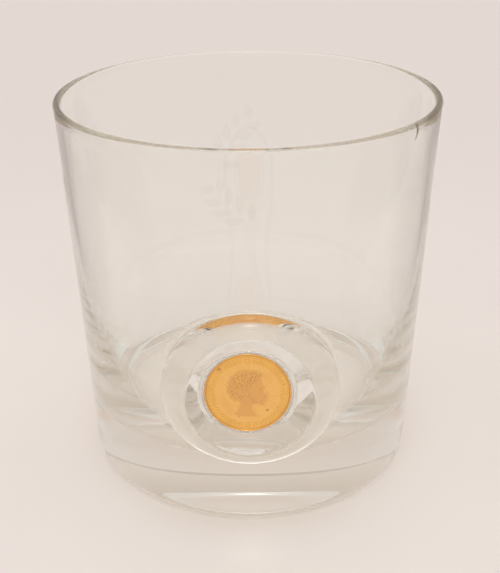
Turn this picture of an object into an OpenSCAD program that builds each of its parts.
// Heavy-based glass tumbler with a glass prunt on its wall that holds a coin.
// The origin is on the glass's axis at the plane it stands on, +Z is up,
// and the coin faces -Y.

/* [Tumbler] */
// Outer diameter at the rim
rim_d = 96; // [92:1:100]
// Outer diameter at the base
base_d = 85.6; // [82:0.2:88]
// Overall height
height = 98.5; // [95:0.5:105]
// Thickness of the wall at the rim
rim_wall = 1.8; // [1.4:0.1:2.2]
// Radius that the ground edge of the base is eased to
base_edge_r = 3; // [0.5:0.1:3.5]

/* [Drinking bowl] */
// Thickness of the solid glass base at its middle
floor_t = 13.2; // [11:0.2:16]
// Radius at which the thickened wall would reach the height of the floor's middle
floor_r = 34.6; // [32:0.2:37]
// How much higher the floor stands at that radius than at its middle
floor_dish = 3.6; // [1:0.2:4]
// Softness of the corner between the wall and the floor
floor_blend = 0.65; // [0.3:0.05:2]
// Height below which the wall thickens
thicken_z = 88; // [80:1:92]
// Power of that thickening: the higher it is, the lower down the glass gathers
thicken_power = 4.8; // [3:0.1:6]

/* [Hollow under the base] */
// Radius of the shallow hollow ground into the underside
punt_r = 34; // [30:0.5:37]
// Depth of that hollow
punt_depth = 0.8; // [0.4:0.1:1.2]

/* [Prunt] */
// Height of the coin's centre above the table
seal_z = 41.2; // [40:0.2:43]
// Angle that the coin looks up from the horizontal
seal_tilt = 2.1; // [0:0.1:4]
// Largest radius of the prunt
seal_r = 20; // [19:0.2:21]
// How far its widest ring stands in front of the wall
seal_waist = 2.8; // [2:0.1:3.4]
// How far its lip stands in front of the wall
seal_rise = 7.2; // [6.8:0.1:7.6]
// Radius of the crest of the lip
lip_r = 15; // [14.4:0.1:15.4]
// Radius that the crest of the lip is rounded to
lip_round = 1.2; // [0.8:0.1:1.4]

/* [Coin] */
// Diameter of the coin
coin_d = 20; // [19:0.5:20]
// Thickness of the coin's plate
coin_t = 0.8; // [0.7:0.05:1]
// How far the coin's face stands in front of the wall
coin_out = 5; // [4.8:0.1:5.4]
// Offset of the coin and its seat to the side of the prunt's middle
coin_shift = -0.6; // [-1:0.1:1]
// Height of the rim, beads and portrait above the coin's field
relief = 0.15; // [0.1:0.01:0.2]
// Width of the coin's raised rim
coin_rim_w = 0.35; // [0.3:0.05:0.5]
// Number of beads inside the coin's rim
bead_count = 60; // [40:1:72]

/* [Cement] */
// Thickness of the cement behind the coin
cement_t = 0.3; // [0.2:0.05:0.5]
// Width of the cement ring round the coin's edge
cement_gap = 0.6; // [0.3:0.1:0.8]

/* [Hidden] */
$fn = 96;

rim_r = rim_d / 2;
base_r = base_d / 2;
lean = (rim_r - base_r) / height;
seal_wall_r = base_r + lean * seal_z;
seat_r = coin_d / 2 + cement_gap;
seat_back = coin_out - coin_t - cement_t;

// Thickness that the wall gains on its way down to the floor
root_t = base_r + lean * floor_t - rim_wall - floor_r;

// Radius of the inner wall at height z, before it blends into the floor
function inner_r(z) =
    base_r + lean * z - rim_wall
    - root_t * pow(max(0, thicken_z - z) / (thicken_z - floor_t), thicken_power);

// Height of the dished floor at radius r
function floor_z(r) = floor_t + floor_dish * pow(r / floor_r, 2);

// The higher of two heights, eased where they cross
function soft_max(a, b) = (a + b + sqrt(pow(a - b, 2) + 4 * pow(floor_blend, 2))) / 2;

// A point of the bowl's section, where the wall's own line would be at height wall_z
function bowl_point(r, wall_z) = [r, soft_max(wall_z, floor_z(r))];

// The bowl's section, down the wall, round the corner and in to the axis
function bowl_section() =
    let (
        top = height - rim_wall / 2,
        knee = floor_t + 12,
        end = floor_t - 12,
        end_r = inner_r(end),
        slope = (inner_r(end + 1) - end_r))
    concat(
        [for (i = [0:15]) let (z = top + (knee - top) * i / 16) bowl_point(inner_r(z), z)],
        [for (i = [0:24]) let (z = knee + (end - knee) * i / 24) bowl_point(inner_r(z), z)],
        [for (i = [1:7]) let (r = end_r * (1 - i / 8)) bowl_point(r, end - (end_r - r) / slope)],
        [[0, soft_max(end - end_r / slope, floor_t)]]);

// The outer cone reaches well past the prunt's back, so it cuts the prunt to the wall.
module outer_cone() {
    cylinder(h = height, r1 = base_r, r2 = rim_r, $fn = 180);
}

// Points on an ellipse about c with half axes a, from angle a0 to a1.
function arc(c, a, a0, a1, steps) =
    [for (i = [0:steps]) let (t = a0 + (a1 - a0) * i / steps)
        [c[0] + a[0] * cos(t), c[1] + a[1] * sin(t)]];

// Half of the glass's upright section, from the hollow under the base round to the bowl.
function tumbler_section() =
    let (
        rim_half = rim_wall / 2,
        punt_R = (punt_r * punt_r + punt_depth * punt_depth) / (2 * punt_depth),
        punt_a = asin(punt_r / punt_R))
    concat(
        arc([0, punt_depth - punt_R], [punt_R, punt_R], 90, 90 - punt_a, 8),
        arc([base_r - base_edge_r, base_edge_r], [base_edge_r, base_edge_r], -90, 0, 6),
        arc([rim_r - rim_half, height - rim_half], [rim_half, rim_half], 0, 165, 11),
        bowl_section());

// Places a child on the axis of the prunt. The child's +Z points out of the glass.
module on_seal_axis() {
    translate([0, -seal_wall_r, seal_z]) rotate([90 - seal_tilt, 0, 0]) children();
}

// Places a child at the centre of the coin's seat, at a depth in front of the wall.
module on_coin_axis(out) {
    on_seal_axis() translate([coin_shift, 0, out]) children();
}

// A disc with a raised rim, a ring of beads and a plain portrait in low relief.
module coin_face() {
    coin_r = coin_d / 2;
    bead_r = 0.22;
    rotate_extrude() translate([coin_r - coin_rim_w, 0]) square([coin_rim_w, relief]);
    for (i = [0:bead_count - 1])
        rotate(i * 360 / bead_count) translate([coin_r - 0.85, 0])
            cylinder(h = relief, r = bead_r, $fn = 16);
    linear_extrude(relief) portrait();
}

// The outline of a plain head in profile on a cut-off neck.
module portrait() {
    translate([-0.6, 2]) circle(r = 3.2);
    translate([0.7, 0.4]) circle(r = 2.6);
    polygon([[-2.6, 1], [2.4, -1], [1.4, -3], [2.6, -5.4], [0, -6.3], [-4.4, -4.8], [-2.4, -2.6]]);
    polygon([[3.1, 0.9], [3.9, 0.2], [3.1, -0.1]]);
}

module tumbler() {
    color("lightcyan", 0.4) rotate_extrude($fn = 180) polygon(tumbler_section());
}

module prunt() {
    embed = 12;
    crest_z = seal_rise - lip_round;
    ledge_r = seat_r + abs(coin_shift) + 0.4;
    color("azure", 0.5) difference() {
        on_seal_axis() rotate_extrude() polygon(concat(
            [[0, -embed], [seal_r - 1, -embed]],
            arc([lip_r, seal_waist], [seal_r - lip_r, seal_rise - seal_waist], 0, 90, 14),
            arc([lip_r, crest_z], [lip_round, lip_round], 105, 150, 4),
            [[ledge_r, coin_out + 0.1], [0, coin_out + 0.1]]));
        outer_cone();
        on_coin_axis(seat_back) cylinder(h = seal_rise, r = seat_r);
    }
}

module cement_bed() {
    color("ghostwhite", 0.7) on_coin_axis(seat_back) difference() {
        cylinder(h = cement_t + coin_t * 0.7, r = seat_r);
        translate([0, 0, cement_t]) cylinder(h = coin_t, r = coin_d / 2);
    }
}

module coin() {
    color("goldenrod") on_coin_axis(coin_out - coin_t) {
        cylinder(h = coin_t - relief, r = coin_d / 2);
        translate([0, 0, coin_t - relief]) coin_face();
    }
}

tumbler();
prunt();
cement_bed();
coin();
